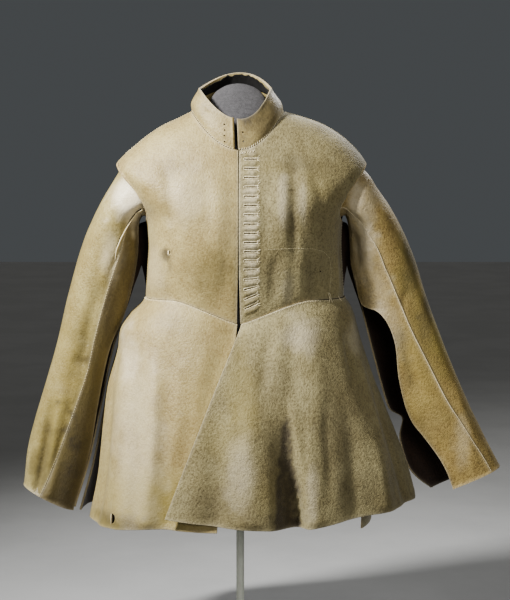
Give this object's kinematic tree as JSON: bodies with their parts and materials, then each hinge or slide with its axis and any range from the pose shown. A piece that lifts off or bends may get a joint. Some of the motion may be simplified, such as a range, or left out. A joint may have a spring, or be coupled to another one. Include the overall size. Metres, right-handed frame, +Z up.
{
  "type": "buff coat on a dress form stand",
  "caption": "Thick leather buff coat with a standing collar, flared skirts and open-seamed sleeves, closed at the front, on a limbless dress form with a pole and round base.",
  "frame": {"origin": "centre of the round base's underside, on the pole's axis", "axes": "+Z up, the coat's front faces -Y, its wearer's left is at +X"},
  "size_m": [0.9071, 0.4413, 1.0846],
  "materials": {
    "leather_body": "pale buff leather, worn smooth",
    "leather_nap": "buff leather with a raised nap",
    "leather_sleeve": "buff leather, more golden",
    "lining": "dark torn cloth",
    "thread": "cream linen thread",
    "form_cloth": "grey close-woven cover",
    "stand_paint": "pale satin paint"
  },
  "bodies": {
    "root": {"stand_base": "stand_paint", "stand_pole": "stand_paint", "form_torso": "form_cloth", "body_front_right": "leather_body", "body_front_left": "leather_nap", "body_back": "leather_body", "collar": "leather_body", "collar_lining": "lining", "skirt_front_right": "leather_body", "skirt_front_left": "leather_nap", "skirt_back_left": "leather_nap", "skirt_back_right": "leather_body", "sleeve_right_main": "leather_sleeve", "sleeve_right_inner": "leather_sleeve", "sleeve_left_main": "leather_sleeve", "sleeve_left_inner": "leather_sleeve", "fastening_01": "thread", "fastening_02": "thread", "fastening_03": "thread", "fastening_04": "thread", "fastening_05": "thread", "fastening_06": "thread", "fastening_07": "thread", "fastening_08": "thread", "fastening_09": "thread", "fastening_10": "thread", "fastening_11": "thread", "fastening_12": "thread", "fastening_13": "thread", "fastening_14": "thread", "fastening_15": "thread", "fastening_16": "thread", "fastening_17": "thread"}
  },
  "joints": []
}
